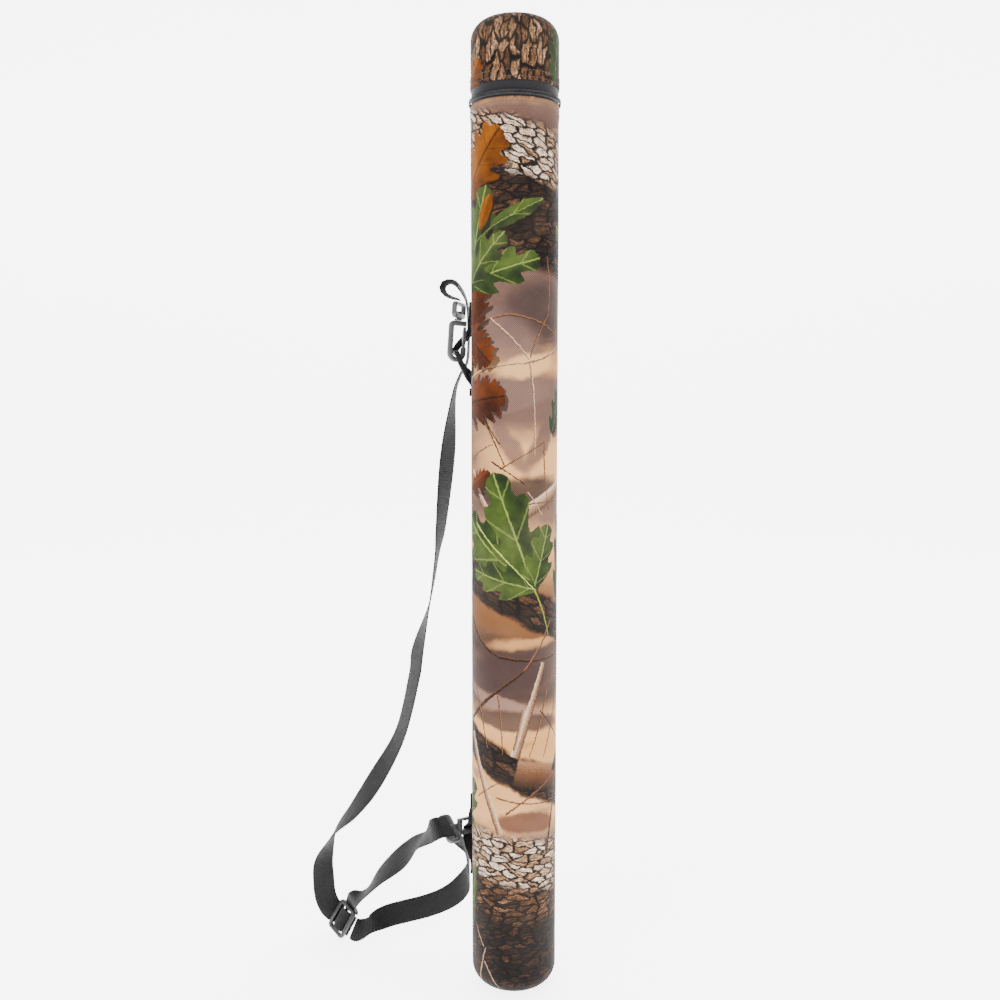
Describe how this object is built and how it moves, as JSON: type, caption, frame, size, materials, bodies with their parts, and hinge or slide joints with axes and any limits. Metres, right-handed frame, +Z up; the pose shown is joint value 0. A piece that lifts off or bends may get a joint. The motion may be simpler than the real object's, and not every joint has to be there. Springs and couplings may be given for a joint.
{
  "type": "rod case",
  "caption": "Upright fabric-covered rigid tube for fishing rods, with a zipped cap hinged at the back and a clip-on webbing shoulder strap with a tri-glide.",
  "frame": {"origin": "centre of the flat base, on the tube's axis", "axes": "+Z up along the tube towards the cap, -Y the front, +Y the back with the cap's fabric hinge, -X the side with the strap"},
  "size_m": [0.2239, 0.1242, 0.798],
  "materials": {
    "camouflage_fabric": "printed woven polyester",
    "tube_plastic": "extruded and moulded",
    "lining_fabric": "brushed knit",
    "foam": "closed-cell pad under fabric",
    "zip_tape": "woven tape",
    "zip_teeth": "coil",
    "zip_slider_metal": "dark lacquer",
    "webbing": "flat woven webbing",
    "moulded_nylon": "satin moulding"
  },
  "bodies": {
    "case": {"body_cover": "camouflage_fabric", "base_panel": "camouflage_fabric", "base_plug": "tube_plastic", "base_pad": "foam", "liner_tube": "tube_plastic", "inner_lining": "lining_fabric", "zip_tape_lower": "zip_tape", "zip_coil_lower": "zip_teeth", "zip_stop_closed": "zip_teeth", "zip_stop_open": "zip_teeth", "hinge_panel": "camouflage_fabric", "anchor_strap_upper": "webbing", "anchor_strap_lower": "webbing", "upper_hook_eye": "moulded_nylon", "lower_hook_eye": "moulded_nylon", "tri_glide": "moulded_nylon", "strap_main": "webbing", "strap_lower_run": "webbing", "strap_return_run": "webbing"},
    "cap": {"cap_cover": "camouflage_fabric", "cap_top_panel": "camouflage_fabric", "cap_shell": "tube_plastic", "cap_pad": "foam", "cap_lining": "lining_fabric", "zip_tape_upper": "zip_tape", "zip_coil_upper": "zip_teeth"},
    "slider": {"zip_slider": "zip_slider_metal", "zip_slider_crown": "zip_slider_metal"},
    "pull": {"zip_pull_tab": "zip_slider_metal"},
    "upper_hook": {"upper_hook_body": "moulded_nylon", "upper_hook_swivel": "moulded_nylon"},
    "upper_gate": {"upper_hook_gate": "moulded_nylon"},
    "lower_hook": {"lower_hook_body": "moulded_nylon", "lower_hook_swivel": "moulded_nylon"},
    "lower_gate": {"lower_hook_gate": "moulded_nylon"}
  },
  "joints": [
    {"name": "cap_hinge", "type": "hinge", "parent": "case", "child": "cap", "pos_m": [0, 0.037, 0.734], "axis": [-1, 0, 0], "range_deg": [0, 150]},
    {"name": "zip_travel", "type": "hinge", "parent": "case", "child": "slider", "pos_m": [0, 0, 0.7331], "axis": [0, 0, 1], "range_deg": [-256, 0]},
    {"name": "pull_swing", "type": "hinge", "parent": "slider", "child": "pull", "pos_m": [0.03258, 0.02546, 0.7331], "axis": [0.6157, -0.788, 0], "range_deg": [0, 150]},
    {"name": "upper_swivel", "type": "hinge", "parent": "case", "child": "upper_hook", "pos_m": [-0.0462, 0.008, 0.5645], "axis": [0.0698, 0, 0.9976], "range_deg": [-10, 10]},
    {"name": "upper_gate_hinge", "type": "hinge", "parent": "upper_hook", "child": "upper_gate", "pos_m": [-0.04121, 0.01001, 0.55633], "axis": [-0.34, 0.9401, 0.0238], "range_deg": [0, 20], "stiffness_Nm_per_rad": 0.01, "springref_deg": -20.05},
    {"name": "lower_swivel", "type": "hinge", "parent": "case", "child": "lower_hook", "pos_m": [-0.0506, 0.0152, 0.1272], "axis": [-0.841, -0.5406, 0.02], "range_deg": [0, 10]},
    {"name": "lower_gate_hinge", "type": "hinge", "parent": "lower_hook", "child": "lower_gate", "pos_m": [-0.04394, 0.01948, 0.13294], "axis": [-0.5408, 0.8412, 0], "range_deg": [0, 6], "stiffness_Nm_per_rad": 0.01, "springref_deg": -20.05}
  ]
}
